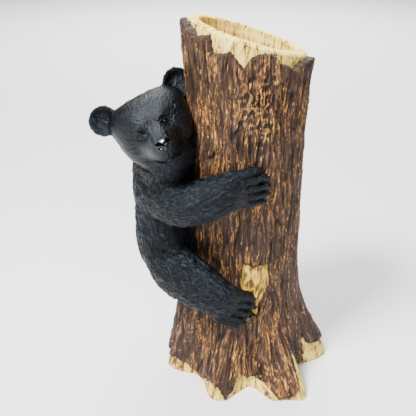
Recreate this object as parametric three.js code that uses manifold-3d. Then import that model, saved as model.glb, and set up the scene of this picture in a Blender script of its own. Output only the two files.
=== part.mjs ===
// Climbing bear statue: a bear cub hugging a hollow tree stump, cast as one piece of resin.
// Millimetres, +Z up. The origin is on the stump's axis, at the middle of its flat underside.
// The photographed front faces -Y, and the bear hangs on the -X side of the stump.
import * as THREE from 'three';
import { mergeVertices } from 'three/addons/utils/BufferGeometryUtils.js';
import Module from 'manifold-3d';

const wasm = await Module();
wasm.setup();

// Driving dimensions of the stump
const rimHeight = 584;          // sawn face, measured on the axis
const rimSlope = 17;            // degrees that the sawn face falls towards +X
const rimRounding = 6;          // worn outer corner of the sawn face
const trunkRadius = 88;         // bare wood, halfway up
const topSwell = 3;             // how much wider the wood is at the top
const swellStart = 0.8;         // share of the height where it starts to widen
const barkThickness = 5.5;
const barkEdgeRise = 3;         // height over which the bark's torn edges slope
const barkCurl = 6;             // how far the bark peels outwards at its torn upper edge
const curlStart = 0.8;          // share of the bark's height where it starts to peel
const wallThickness = 15;       // bare wood to well
const wellDraft = 5;            // the well is this much narrower at its bottom
const wellLip = 2.5;            // worn inner corner of the sawn face
const wellFloor = 26;           // thickness of the closed bottom
const footFlare = 12;           // spread of the trunk between the roots
const footFlareRise = 45;

// Root lobes: angle in degrees, reach beyond the trunk, half width in degrees, height of the buttress
const roots = [
  { angle: 0, reach: 60, spread: 17, rise: 102 },
  { angle: 46, reach: 44, spread: 16, rise: 90 },
  { angle: 98, reach: 50, spread: 15, rise: 95 },
  { angle: 146, reach: 40, spread: 15, rise: 90 },
  { angle: 196, reach: 38, spread: 19, rise: 165 },
  { angle: 251, reach: 46, spread: 15, rise: 85 },
  { angle: 290, reach: 36, spread: 7, rise: 70 },
  { angle: 307, reach: 70, spread: 12.5, rise: 90 },
];

// Torn edges of the bark: angle in degrees, then how far the bark stops below the sawn face
const barkTop = [
  [20, 14], [38, 30], [60, 10], [85, 26], [108, 9], [130, 24], [155, 10], [182, 6],
  [203, 8], [216, 17], [232, 8], [235, 32], [252, 22], [264, 37], [271, 18], [284, 6],
  [290, 6], [295, 16], [305, 17], [309, 23], [326, 9], [339, 6], [351, 6],
];
// and how far it stops above the ground
const barkFoot = [
  [3, 36], [20, 10], [38, 30], [52, 4], [70, 34], [90, 12], [104, 3], [120, 30], [136, 14], [150, 4],
  [166, 26], [183, 40], [197, 28], [213, 18], [228, 3], [245, 28], [252, 24], [257, 3], [262, 8],
  [266, 36], [274, 20], [287, 24], [293, 4], [300, 3], [305, 24], [308, 80], [313, 58], [335, 6],
  [341, 4], [344, 56], [348, 36],
];

// Torn patch where the bare wood shows: angle, then height of its upper and its lower edge
const patchTop = [[265, 198], [268, 237], [275, 232], [282, 230], [290, 235], [294, 230], [297, 194]];
const patchBottom = [[265, 196], [271, 178], [276, 150], [283, 138], [287, 158], [291, 177], [297, 191]];
const patchSkin = 1;            // bark left on the wood inside the patch
const patchReach = 40;          // how far the block that cuts the patch stands out of the wood

// Furrows of the bark: depth, how many go round, and the height over which they drift sideways
const coarseFurrows = { depth: 1.8, count: 13, sway: 0.5, rise: 60 };
const fineFurrows = { depth: 1.26, count: 22, rise: 75 };

// Driving dimensions of the bear, a figure drawn at figureLength from rump to ear tips
const figureLength = 388;
const bearLength = 388;
const bearSeat = 150;           // height of the rump's underside
const grow = bearLength / figureLength;

// Faceting
const trunkColumns = 80;
const barkRows = 10;
const wellColumns = 33;         // shares no facet edge with the trunk's columns
const patchColumns = 8;
const patchRows = 4;
const barkRowCrowding = 1.35;   // above 1 the rows of the bark stand closer near the roots
const headRowCrowding = 1.25;   // above 1 the rings of the head stand closer round the muzzle
const capRows = 2;              // rings that round off each end of a swept form
const facets = {
  torso: { sides: 18, steps: 9 },
  neck: { sides: 14, steps: 3 },
  limb: { sides: 14, hiddenSides: 10, steps: 8 },
  toe: { sides: 8, hiddenSides: 6, steps: 2 },
  web: { sides: 10, steps: 3 },
  head: { sides: 26, rings: 20 },
  lump: { sides: 10, rings: 6 },
  ear: { sides: 12 },
};

const barkRadius = trunkRadius + barkThickness;
const wellRadius = trunkRadius - wallThickness;
const deg = THREE.MathUtils.degToRad;

// Small functions that the shapes share
function polar(angle, radius, height) {
  return new THREE.Vector3(radius * Math.cos(deg(angle)), radius * Math.sin(deg(angle)), height);
}

function bell(value, width) {
  return Math.exp(-((value / width) ** 2));
}

function turnBetween(angle, from) {
  return THREE.MathUtils.euclideanModulo(angle - from + 180, 360) - 180;
}

function alongEdge(edge, angle) {
  const turn = THREE.MathUtils.euclideanModulo(angle, 360);
  const next = edge.findIndex((corner) => corner[0] > turn);
  const end = edge[next === -1 ? 0 : next];
  const start = edge[next <= 0 ? edge.length - 1 : next - 1];
  const span = THREE.MathUtils.euclideanModulo(end[0] - start[0], 360);
  const share = THREE.MathUtils.euclideanModulo(turn - start[0], 360) / span;
  return THREE.MathUtils.lerp(start[1], end[1], share);
}

// A closed skin of rings between two poles, each point placed by place(row, angle)
function skin(columns, rows, place) {
  const geometry = new THREE.SphereGeometry(1, columns, rows);
  const position = geometry.attributes.position;
  for (let row = 0; row <= rows; row++) {
    for (let column = 0; column <= columns; column++) {
      const angle = 180 + (360 * (column % columns)) / columns;
      const point = place(row, angle);
      position.setXYZ(row * (columns + 1) + column, point.x, point.y, point.z);
    }
  }
  return geometry;
}

function solid(geometry) {
  geometry.deleteAttribute('normal');
  geometry.deleteAttribute('uv');
  const merged = mergeVertices(geometry, 1e-3);
  const vertProperties = new Float32Array(merged.attributes.position.array);
  const triVerts = new Uint32Array(merged.index.array);
  return new wasm.Manifold(new wasm.Mesh({ numProp: 3, vertProperties, triVerts }));
}

function joined(solids) {
  return solids.reduce((whole, next) => whole.add(next));
}

// Stump
function sawnHeight(angle, radius) {
  return rimHeight - Math.tan(deg(rimSlope)) * radius * Math.cos(deg(angle));
}

function woodRadius(angle, height) {
  const buttress = roots.reduce((sum, root) => sum
    + root.reach * bell(turnBetween(angle, root.angle), root.spread) * bell(height, root.rise), 0);
  const swell = topSwell * THREE.MathUtils.smoothstep(height, rimHeight * swellStart, rimHeight);
  return trunkRadius + swell + footFlare * Math.exp(-height / footFlareRise) + buttress;
}

function barkSurface(angle, height, share) {
  const curl = barkCurl * Math.max(0, (share - curlStart) / (1 - curlStart)) ** 2;
  const sway = coarseFurrows.sway * Math.sin(height / coarseFurrows.rise);
  const coarse = coarseFurrows.depth * Math.sin(deg(angle) * coarseFurrows.count + sway);
  const fine = fineFurrows.depth * Math.sin(deg(angle) * fineFurrows.count - height / fineFurrows.rise);
  return woodRadius(angle, height) + barkThickness + curl + coarse + fine;
}

// Rings of the stump from the middle of the sawn face down to the middle of the underside
function stumpPoint(row, angle) {
  const sawn = sawnHeight(angle, trunkRadius + topSwell);
  const top = sawn - Math.max(alongEdge(barkTop, angle), rimRounding + 1);
  const foot = alongEdge(barkFoot, angle);
  const midRounding = rimRounding * (1 - Math.SQRT1_2);
  const wood = (height) => polar(angle, woodRadius(angle, height), height);
  const lastRow = barkRows + 7;
  if (row === 0) return new THREE.Vector3(0, 0, rimHeight);
  if (row === 1) {
    const inset = woodRadius(angle, sawn) - rimRounding;
    return polar(angle, inset, sawnHeight(angle, inset));
  }
  if (row === 2) {
    const inset = woodRadius(angle, sawn) - midRounding;
    return polar(angle, inset, sawnHeight(angle, inset) - midRounding);
  }
  if (row === 3) return wood(sawn - rimRounding);
  if (row === 4) return wood(top);
  if (row < lastRow - 2) {
    const share = 1 - (row - 5) / (barkRows - 1);
    const low = foot + barkEdgeRise;
    const height = THREE.MathUtils.lerp(low, top - barkEdgeRise, share ** barkRowCrowding);
    return polar(angle, barkSurface(angle, height, share), height);
  }
  if (row === lastRow - 2) return wood(foot);
  if (row === lastRow - 1) return wood(0);
  return new THREE.Vector3(0, 0, 0);
}

function makeStump() {
  return solid(skin(trunkColumns, barkRows + 7, stumpPoint));
}

function makeWell() {
  const above = rimHeight;
  const place = (row, angle) => {
    const lipHeight = sawnHeight(angle, wellRadius);
    if (row === 0) return new THREE.Vector3(0, 0, rimHeight + above);
    if (row === 1) return polar(angle, wellRadius + wellLip * 2, lipHeight + above);
    if (row === 2) return polar(angle, wellRadius + wellLip * 2, lipHeight + wellLip);
    if (row === 3) return polar(angle, wellRadius, lipHeight - wellLip);
    if (row === 4) return polar(angle, wellRadius - wellDraft, wellFloor);
    return new THREE.Vector3(0, 0, wellFloor);
  };
  return solid(skin(wellColumns, 5, place));
}

// The patch is cut with a curved block that follows the same wood
function makePatchCutter() {
  const geometry = new THREE.BoxGeometry(1, 1, 1, patchColumns, patchRows, 1);
  const position = geometry.attributes.position;
  const first = patchTop[0][0];
  const last = patchTop[patchTop.length - 1][0];
  for (let index = 0; index < position.count; index++) {
    const angle = THREE.MathUtils.lerp(first, last, position.getX(index) + 0.5);
    const low = alongEdge(patchBottom, Math.min(angle, last - 0.01));
    const high = alongEdge(patchTop, Math.min(angle, last - 0.01));
    const height = THREE.MathUtils.lerp(low, high, position.getY(index) + 0.5);
    const lift = patchSkin + (position.getZ(index) + 0.5) * patchReach;
    const point = polar(angle, woodRadius(angle, height) + lift, height);
    position.setXYZ(index, point.x, point.y, point.z);
  }
  return solid(geometry);
}

// Bear: a station sits at an angle round the stump, a distance out from its bark and a height over the seat
function onBark(angle, out, height) {
  return polar(angle, barkRadius + out * grow, bearSeat + height * grow);
}

function swept(stations, { sides, steps }) {
  const centres = new THREE.CatmullRomCurve3(stations.map(({ at }) => at));
  const sizes = new THREE.CatmullRomCurve3(stations.map(({ breadth, depth }) => (
    new THREE.Vector3(breadth * grow, depth * grow, 0))));
  const rows = steps + capRows * 2;
  const place = (row, angle) => {
    const share = THREE.MathUtils.clamp((row - capRows) / steps, 0, 1);
    const centre = centres.getPoint(share);
    const size = sizes.getPoint(share);
    const along = centres.getTangent(share);
    const outwards = new THREE.Vector3(centre.x, centre.y, 0).normalize();
    outwards.addScaledVector(along, -outwards.dot(along)).normalize();
    const across = outwards.clone().cross(along);
    const capTurn = Math.max(capRows - row, row - steps - capRows, 0) / capRows;
    const shrink = Math.cos((capTurn * Math.PI) / 2);
    const bulge = Math.sin((capTurn * Math.PI) / 2) * Math.min(size.x, size.y) * (share > 0.5 ? 1 : -1);
    centre.addScaledVector(along, bulge);
    centre.addScaledVector(across, Math.cos(deg(angle)) * size.x * shrink);
    return centre.addScaledVector(outwards, -Math.sin(deg(angle)) * size.y * shrink);
  };
  return solid(skin(sides, rows, place));
}

function station(angle, out, height, breadth, depth) {
  return { at: onBark(angle, out, height), breadth, depth };
}

function makeTorso() {
  return swept([
    station(182, 30, 47, 50, 42),
    station(182, 34, 70, 61, 49),
    station(181, 37, 98, 62, 52),
    station(181, 39, 128, 57, 50),
    station(181, 38, 160, 60, 50),
    station(182, 41, 196, 62, 50),
    station(185, 44, 226, 54, 45),
    station(190, 46, 250, 48, 40),
  ], facets.torso);
}

function makeNeck() {
  return swept([
    station(186, 40, 212, 50, 44),
    station(197, 38, 240, 50, 42),
    station(203, 36, 264, 46, 40),
  ], facets.neck);
}

// side is 1 for the limbs that the front view shows and -1 for their plainer mirror images behind
function around(side, angle) {
  return 180 + side * (angle - 180);
}

function facetsFor(side, { sides, hiddenSides, steps }) {
  return { sides: side > 0 ? sides : hiddenSides, steps };
}

function makeArm(side) {
  return swept([
    station(around(side, 198), 44, 188, 40, 38),
    station(around(side, 213), 38, 188, 38, 34),
    station(around(side, 227), 31, 193, 36, 31),
    station(around(side, 241), 25, 207, 33, 27),
    station(around(side, 254), 20, 220, 30, 21),
    station(around(side, 264), 12, 223, 30, 14),
  ], facetsFor(side, facets.limb));
}

function makeLeg(side) {
  return swept([
    station(around(side, 198), 40, 72, 37, 38),
    station(around(side, 212), 40, 67, 42, 38),
    station(around(side, 228), 32, 56, 42, 34),
    station(around(side, 242), 24, 40, 38, 27),
    station(around(side, 251), 17, 24, 35, 20),
    station(around(side, 256), 12, 16, 31, 15),
  ], facetsFor(side, facets.limb));
}

// Toes lie along the bark, from knuckle to tip, each an angle and a height. A web sunk in the bark joins them
const frontPaw = {
  toeRadius: 8.4,
  knuckles: [[262, 247], [262, 235], [262, 223], [262, 211], [262, 200]],
  tips: [[278, 250], [284.5, 238], [286, 225], [286, 212.5], [283.5, 201]],
  web: { from: [262, 227], to: [277, 228], breadth: 32, depth: 11, sink: 5 },
};
const hindPaw = {
  toeRadius: 10.4,
  knuckles: [[260, 45], [257, 33], [253, 21], [249, 9], [245, -2]],
  tips: [[274.5, 31], [275.5, 15], [272, 0], [266.5, -13], [259, -20]],
  web: { from: [254, 18], to: [268, 4], breadth: 33, depth: 11, sink: 5 },
};
const toeRise = { knuckle: 0.6, middle: 0.75, tip: 0.35 };   // how far out a toe's middle lies, in toe radii
const toeTaper = 0.85;

function makeToe(side, knuckle, tip, radius) {
  const middle = [(knuckle[0] + tip[0]) / 2, (knuckle[1] + tip[1]) / 2];
  const end = radius * toeTaper;
  return swept([
    station(around(side, knuckle[0]), radius * toeRise.knuckle, knuckle[1], radius, radius),
    station(around(side, middle[0]), radius * toeRise.middle, middle[1], radius, radius),
    station(around(side, tip[0]), radius * toeRise.tip, tip[1], end, end),
  ], facetsFor(side, facets.toe));
}

function makePaw(side, { toeRadius, knuckles, tips, web }) {
  const { from, to, breadth, depth, sink } = web;
  const skinBetween = swept([
    station(around(side, from[0]), -sink, from[1], breadth, depth),
    station(around(side, to[0]), -sink, to[1], breadth, depth),
  ], facets.web);
  return [skinBetween, ...knuckles.map((knuckle, index) => makeToe(side, knuckle, tips[index], toeRadius))];
}

// Head: right, up and forward are the head's own directions, from behind the middle of its eyes
const headPlace = onBark(195.6, 55, 299);
const headRoll = 26;            // degrees, towards the open side
const headYaw = 5;
const headPitch = 15;           // degrees that the face looks up
const headTurn = new THREE.Matrix4()
  .makeRotationZ(deg(headYaw))
  .multiply(new THREE.Matrix4().makeRotationX(deg(90 - headPitch)))
  .multiply(new THREE.Matrix4().makeRotationZ(deg(headRoll)));
const skull = { right: 59, up: 48, forward: 54, lift: 5, squareness: 2.3 };
const nose = { aim: [0, -0.34, 1], sizes: [13, 9, 8] };
const eye = { aim: [0.36, -0.03, 1], sizes: [6, 5, 5.5] };
const lumpSink = 3;             // how far the nose and the eyes are sunk in the face
const ear = {
  side: 63, up: 43, back: 4, turn: 12,
  dish: [[0, -9], [14, -8], [22, -3], [24.5, 4], [21, 6], [15, 1], [0, -3]],
};

// Swellings and hollows of the head: where they lie, how far they stand out, and their spread in degrees
const muzzleAim = [0, -0.4, 1];
const headForms = [
  { at: muzzleAim, out: 37, spread: 22, edge: 2.5 },
  { at: [0, -0.06, 1], out: 8, spread: 14, edge: 2 },
  { at: [0, -1, 0.9], out: 13, spread: 18, edge: 2 },
  ...[-1, 1].flatMap((side) => [
    { at: [side * 0.37, -0.04, 1], out: -7, spread: 9, edge: 2 },
    { at: [side * 0.38, 0.2, 1], out: 4, spread: 12, edge: 2 },
    { at: [side * 0.75, -0.85, 0.5], out: 11, spread: 26, edge: 2 },
    { at: [side * 0.85, 0.55, 0], out: 8, spread: 26, edge: 2 },
  ]),
];

function placeOnHead(geometry) {
  geometry.scale(grow, grow, grow);
  geometry.applyMatrix4(headTurn);
  geometry.translate(headPlace.x, headPlace.y, headPlace.z);
  return solid(geometry);
}

function headReach(direction) {
  const { right, up, forward, squareness } = skull;
  const spans = [direction.x / right, direction.y / up, direction.z / forward];
  const skullReach = spans.reduce((sum, span) => sum + Math.abs(span) ** squareness, 0) ** (-1 / squareness);
  return headForms.reduce((reach, form) => {
    const apart = THREE.MathUtils.radToDeg(direction.angleTo(new THREE.Vector3(...form.at)));
    return reach + form.out * Math.exp(-((apart / form.spread) ** form.edge));
  }, skullReach);
}

function makeSkull() {
  const { sides, rings } = facets.head;
  const muzzleDrop = Math.atan2(-muzzleAim[1], muzzleAim[2]);
  const sideways = new THREE.Vector3(1, 0, 0);
  return placeOnHead(skin(sides, rings, (row, angle) => {
    const polarTurn = Math.PI * (row / rings) ** headRowCrowding;
    const direction = new THREE.Vector3().setFromSphericalCoords(1, polarTurn, deg(angle));
    direction.set(direction.x, -direction.z, direction.y).applyAxisAngle(sideways, muzzleDrop);
    const point = direction.clone().multiplyScalar(headReach(direction));
    point.y += skull.lift;
    return point;
  }));
}

function lumpOnFace([right, up, forward], sizes) {
  const direction = new THREE.Vector3(right, up, forward).normalize();
  const centre = direction.clone().multiplyScalar(headReach(direction) - lumpSink);
  const geometry = new THREE.SphereGeometry(1, facets.lump.sides, facets.lump.rings);
  geometry.scale(...sizes);
  geometry.translate(centre.x, centre.y + skull.lift, centre.z);
  return placeOnHead(geometry);
}

function makeEye(side) {
  const [right, up, forward] = eye.aim;
  return lumpOnFace([side * right, up, forward], eye.sizes);
}

function makeEar(side) {
  const profile = ear.dish.map(([radius, forward]) => new THREE.Vector2(radius, forward));
  const geometry = new THREE.LatheGeometry(profile, facets.ear.sides);
  geometry.rotateX(Math.PI / 2);
  geometry.rotateY(deg(side * ear.turn));
  geometry.translate(side * ear.side, ear.up, -ear.back);
  return placeOnHead(geometry);
}

function makeHead() {
  const pairs = [-1, 1].flatMap((side) => [makeEye(side), makeEar(side)]);
  return [makeSkull(), lumpOnFace(nose.aim, nose.sizes), ...pairs];
}

function makeBear() {
  const limbs = [1, -1].flatMap((side) => [
    makeArm(side), makeLeg(side), ...makePaw(side, frontPaw), ...makePaw(side, hindPaw),
  ]);
  return joined([makeTorso(), makeNeck(), ...limbs, ...makeHead()]);
}

// The casting: stump and bear are one, and the well is cut through both
const casting = makeStump().subtract(makePatchCutter()).add(makeBear()).subtract(makeWell());
const castMesh = casting.getMesh();
const castGeometry = new THREE.BufferGeometry();
castGeometry.setAttribute('position', new THREE.BufferAttribute(castMesh.vertProperties, 3));
castGeometry.setIndex(new THREE.BufferAttribute(castMesh.triVerts, 1));

const paintedResin = new THREE.MeshStandardMaterial({ color: 0x4a3020, roughness: 0.75, metalness: 0 });
const statue = new THREE.Mesh(castGeometry, paintedResin);
statue.name = 'bear_and_stump';

const group = new THREE.Group();
group.add(statue);

export default group;
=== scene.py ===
# Climbing bear statue: a bear cub hugging a hollow tree stump, cast in resin and painted by hand
import math

import bmesh
import bpy
import numpy as np
from mathutils import Matrix, Vector


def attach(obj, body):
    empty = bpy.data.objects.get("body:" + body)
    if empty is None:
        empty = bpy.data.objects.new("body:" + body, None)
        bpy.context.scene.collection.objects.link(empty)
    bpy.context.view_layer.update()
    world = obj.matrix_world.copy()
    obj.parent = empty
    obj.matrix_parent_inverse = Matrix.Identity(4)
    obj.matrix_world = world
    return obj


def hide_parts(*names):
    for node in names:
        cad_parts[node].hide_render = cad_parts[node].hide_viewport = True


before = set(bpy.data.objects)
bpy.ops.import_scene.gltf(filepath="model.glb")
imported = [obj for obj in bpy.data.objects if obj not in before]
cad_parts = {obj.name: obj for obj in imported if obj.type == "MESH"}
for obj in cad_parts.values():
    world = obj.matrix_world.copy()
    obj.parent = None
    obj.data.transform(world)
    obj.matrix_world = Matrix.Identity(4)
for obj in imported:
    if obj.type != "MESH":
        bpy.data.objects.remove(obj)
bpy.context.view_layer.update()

mm = 0.001  # shapes are worked out in millimetres and made in metres
statueNode = "bear_and_stump"


# Noise and small helpers

def makeGradients(seed):
    rng = np.random.default_rng(seed)
    vectors = rng.normal(size=(256, 3))
    return vectors / np.linalg.norm(vectors, axis=1, keepdims=True)


def gradientNoise(points, seed=1):  # smooth noise from about -1 to 1, for rows of x, y, z
    gradients = makeGradients(seed)
    cell = np.floor(points).astype(np.int64)
    part = points - cell
    fade = part ** 3 * (part * (part * 6 - 15) + 10)
    total = np.zeros(len(points))
    for corner in np.ndindex(2, 2, 2):
        spot = cell + corner
        mixed = (spot[:, 0] * 73856093) ^ (spot[:, 1] * 19349663) ^ (spot[:, 2] * 83492791)
        gradient = gradients[(mixed ^ (mixed >> 9)) & 255]
        weight = np.prod(np.where(corner, fade, 1 - fade), axis=1)
        total += weight * ((part - corner) * gradient).sum(axis=1)
    return total * 1.7


def smoothStep(low, high, value):
    share = np.clip((value - low) / (high - low), 0, 1)
    return share * share * (3 - 2 * share)


def bell(value, width, edge=2.0):
    return np.exp(-np.abs(value / width) ** edge)


def turnBetween(angle, start):
    return (angle - start + 180) % 360 - 180


def alongEdge(edge, angle):
    corners = np.array(sorted(edge), float)
    return np.interp(angle % 360, corners[:, 0], corners[:, 1], period=360)


def readPoints(mesh):
    flat = np.empty(len(mesh.vertices) * 3)
    mesh.vertices.foreach_get("co", flat)
    return flat.reshape(-1, 3)


def writePoints(mesh, points):
    mesh.vertices.foreach_set("co", np.ascontiguousarray(points, float).ravel())
    mesh.update()


def readNormals(mesh):
    flat = np.empty(len(mesh.vertices) * 3)
    mesh.vertices.foreach_get("normal", flat)
    return flat.reshape(-1, 3)


def storeNumbers(mesh, name, values):
    attribute = mesh.attributes.new(name, "FLOAT", "POINT")
    attribute.data.foreach_set("value", np.ascontiguousarray(values, float))


def storeVectors(mesh, name, values):
    attribute = mesh.attributes.new(name, "FLOAT_VECTOR", "POINT")
    attribute.data.foreach_set("vector", np.ascontiguousarray(values, float).ravel())


def makePiece(name, mesh, material):
    piece = bpy.data.objects.new(name, mesh)
    bpy.context.scene.collection.objects.link(piece)
    mesh.materials.clear()
    mesh.materials.append(material)
    mesh.polygons.foreach_set("use_smooth", [True] * len(mesh.polygons))
    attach(piece, "root")
    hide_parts(statueNode)
    print(name, "has", sum(len(polygon.vertices) - 2 for polygon in mesh.polygons), "triangles")


def meshFrom(shape, name):
    mesh = bpy.data.meshes.new(name)
    shape.to_mesh(mesh)
    shape.free()
    return mesh


# Node helpers

def newMaterial(name):
    material = bpy.data.materials.new(name)
    material.use_nodes = True
    tree = material.node_tree
    return material, tree, tree.nodes["Principled BSDF"]


def setInput(tree, socket, value):  # a socket is linked, and a colour or a number is set
    if isinstance(value, bpy.types.NodeSocket):
        tree.links.new(value, socket)
    elif isinstance(value, tuple):
        socket.default_value = (*value, 1)
    else:
        socket.default_value = value


def setInputs(tree, node, values):
    for name, value in values.items():
        setInput(tree, node.inputs[name], value)


def attributeNode(tree, name, output="Fac"):
    node = tree.nodes.new("ShaderNodeAttribute")
    node.attribute_name = name
    return node.outputs[output]


def rampNode(tree, source, stops):
    ramp = tree.nodes.new("ShaderNodeValToRGB")
    elements = ramp.color_ramp.elements
    while len(elements) < len(stops):
        elements.new(0.5)
    for element, (place, colour) in zip(elements, stops):
        element.position = place
        element.color = (*colour, 1)
    setInput(tree, ramp.inputs["Fac"], source)
    return ramp.outputs["Color"]


def paintRamp(tree, source, paint, stops):  # a ramp through the paint's own colours, named with their places
    return rampNode(tree, source, [(place, paint[name]) for name, place in paint[stops].items()])


def mixNode(tree, share, first, second, blend="MIX"):
    mix = tree.nodes.new("ShaderNodeMix")
    mix.data_type = "RGBA"
    mix.blend_type = blend
    for index, value in ((0, share), (6, first), (7, second)):
        setInput(tree, mix.inputs[index], value)
    return mix.outputs[2]


def mathNode(tree, operation, *values, clamp=False):
    node = tree.nodes.new("ShaderNodeMath")
    node.operation = operation
    node.use_clamp = clamp
    for socket, value in zip(node.inputs, values):
        setInput(tree, socket, value)
    return node.outputs[0]


def addShare(tree, level, source, weight, middle=0.0):  # the level, with so much of the source added
    return mathNode(tree, "ADD", level, mathNode(tree, "MULTIPLY_ADD", source, weight, -weight * middle))


def noiseNode(tree, vector, scale, detail, roughness, stretch=None):
    if stretch:
        mapping = tree.nodes.new("ShaderNodeMapping")
        mapping.inputs["Scale"].default_value = stretch
        tree.links.new(vector, mapping.inputs["Vector"])
        vector = mapping.outputs["Vector"]
    noise = tree.nodes.new("ShaderNodeTexNoise")
    setInputs(tree, noise, {"Vector": vector, "Scale": scale, "Detail": detail, "Roughness": roughness})
    return noise.outputs["Fac"]


def bumpNode(tree, height, strength, distance):
    bump = tree.nodes.new("ShaderNodeBump")
    setInputs(tree, bump, {"Height": height, "Strength": strength, "Distance": distance})
    return bump.outputs["Normal"]


# Stump

stump = {
    "rimHeight": 584, "rimSlope": 17, "rimRounding": 6,
    "trunkRadius": 88, "topSwell": 3, "swellStart": 0.8,
    "barkThickness": 5.5, "barkCurl": 6, "curlStart": 0.8, "barkSink": 3, "barkBack": 6, "barkBottom": 1,
    "wallThickness": 15, "wellDraft": 5, "wellLip": 2.5, "wellFloor": 26,
    "footFlare": 12, "footFlareRise": 45,
    "columns": 450, "crowding": 0.35, "barkRows": 180,
}
wellRadius = stump["trunkRadius"] - stump["wallThickness"]

rootLobes = [  # angle, reach, spread in degrees, rise
    (0, 60, 17, 102), (46, 44, 16, 90), (98, 50, 15, 95), (146, 40, 15, 90),
    (196, 38, 19, 165), (251, 46, 15, 85), (290, 36, 7, 70), (307, 70, 12.5, 90),
]
barkTop = [  # angle, then how far the bark stops below the sawn face
    (20, 14), (38, 30), (60, 10), (85, 26), (108, 9), (130, 24), (155, 10), (182, 6),
    (203, 8), (216, 17), (232, 8), (235, 32), (252, 22), (264, 37), (271, 18), (284, 6),
    (290, 6), (295, 16), (305, 17), (309, 23), (326, 9), (339, 6), (351, 6),
]
barkFoot = [  # angle, then how far the bark stops above the ground
    (3, 36), (20, 10), (38, 30), (52, 4), (70, 34), (90, 12), (104, 3), (120, 30), (136, 14), (150, 4),
    (166, 26), (183, 40), (197, 28), (213, 18), (228, 3), (245, 28), (252, 24), (257, 3), (262, 8),
    (266, 36), (274, 20), (287, 24), (293, 4), (300, 3), (305, 24), (308, 80), (313, 58), (335, 6),
    (341, 4), (344, 56), (348, 36),
]
patchTop = [(265, 198), (268, 237), (275, 232), (282, 230), (290, 235), (294, 230), (297, 194)]
patchBottom = [(265, 196), (271, 178), (276, 150), (283, 138), (287, 158), (291, 177), (297, 191)]
curls = [  # places where the bark's grain swirls: angle, height, size
    (276, 505, 24), (283, 465, 20), (262, 482, 14), (60, 420, 22), (120, 300, 18), (20, 250, 18),
]


def sawnHeight(angle, radius):
    return stump["rimHeight"] - math.tan(math.radians(stump["rimSlope"])) * radius * np.cos(np.radians(angle))


def woodRadius(angle, height):
    radius = stump["trunkRadius"] + stump["footFlare"] * np.exp(-height / stump["footFlareRise"])
    swell = smoothStep(stump["swellStart"] * stump["rimHeight"], stump["rimHeight"], height)
    radius = radius + stump["topSwell"] * swell
    for lobe, reach, spread, rise in rootLobes:
        radius = radius + reach * bell(turnBetween(angle, lobe), spread) * bell(height, rise)
    return radius


def onRing(angle, height, width, length=None):  # places for noise that goes round the trunk without a seam
    turn = np.radians(angle)
    reach = stump["trunkRadius"] / width
    return np.column_stack((np.cos(turn) * reach, np.sin(turn) * reach, height / (length or width)))


def ringNoise(angle, height, width, length, seed):
    return gradientNoise(onRing(angle, height, width, length), seed)


barkRelief = {
    "furrowDepth": 1.5, "ledgeHeight": 0.85, "threadDepth": 0.5, "crackDepth": 3.4, "splitDepth": 1.6,
    "sway": 1.8, "bend": 5.0, "swirl": 3.0, "thinnest": 2.0,
}
barkMarks = {  # width, length and seed of the noise behind each kind of mark
    "furrow": (6.8, 80, 21), "valley": (14, 70, 28), "whorl": (8, 12, 29), "step": (3.6, 46, 22),
    "fineStep": (2.0, 28, 26), "thread": (1.5, 26, 25), "crack": (13, 95, 23), "crackEnd": (30, 50, 24),
    "split": (5, 42, 27),
}
woodMarks = {"board": (8, 55, 31), "thread": (2.4, 22, 32), "groove": (4, 40, 33), "nick": (7, 9, 34)}


def barkGrain(angle, height):  # the angle bent as the grain bends, and how wild the grain is
    shape = barkRelief
    shift = shape["sway"] * ringNoise(angle, height, 10, 24, 3)
    shift = shift + shape["bend"] * ringNoise(angle, height, 46, 90, 4)
    wild = np.zeros_like(angle)
    for place, level, size in curls:
        side = np.radians(turnBetween(angle, place)) * stump["trunkRadius"]
        wild = np.maximum(wild, bell(np.hypot(side, (height - level) * 0.8), size * 1.3))
    shift = shift + shape["swirl"] * wild * ringNoise(angle, height, 9, 11, 5)
    rise = shape["swirl"] * wild * ringNoise(angle, height, 8, 8, 6)
    return angle + np.degrees(shift / stump["trunkRadius"]), height + rise, wild


def barkHeights(angle, height):  # relief, and where a ledge or ridge catches the dry brush
    shape = barkRelief
    bent, level, wild = barkGrain(angle, height)
    mark = {name: ringNoise(bent, level, *sizes) for name, sizes in barkMarks.items()}
    furrows = 1 - 2 * np.abs(mark["furrow"]) + 0.6 * mark["valley"]
    whorls = 1 - 2.4 * np.abs(mark["whorl"])
    furrows = furrows + wild * (1.3 * whorls - furrows)
    steps = 2.3 * mark["step"] + 0.7 * mark["fineStep"]
    base = np.floor(steps)
    rise = steps - base
    ledges = base + smoothStep(0.62, 0.98, rise)
    threads = mark["thread"]
    cracks = bell(mark["crack"], 0.07) * smoothStep(-0.25, 0.2, mark["crackEnd"])
    splits = bell(mark["split"], 0.07)
    relief = shape["furrowDepth"] * furrows + shape["ledgeHeight"] * ledges + shape["threadDepth"] * threads
    relief = relief - shape["crackDepth"] * cracks - shape["splitDepth"] * splits
    brushed = 0.9 * bell(rise - 0.9, 0.22) + 0.45 * furrows + 0.5 * threads + 0.15 * ledges
    brushed = brushed - 1.5 * cracks - 0.9 * splits + 0.6 * wild * smoothStep(0.4, 0.9, whorls)
    return relief, brushed


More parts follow.
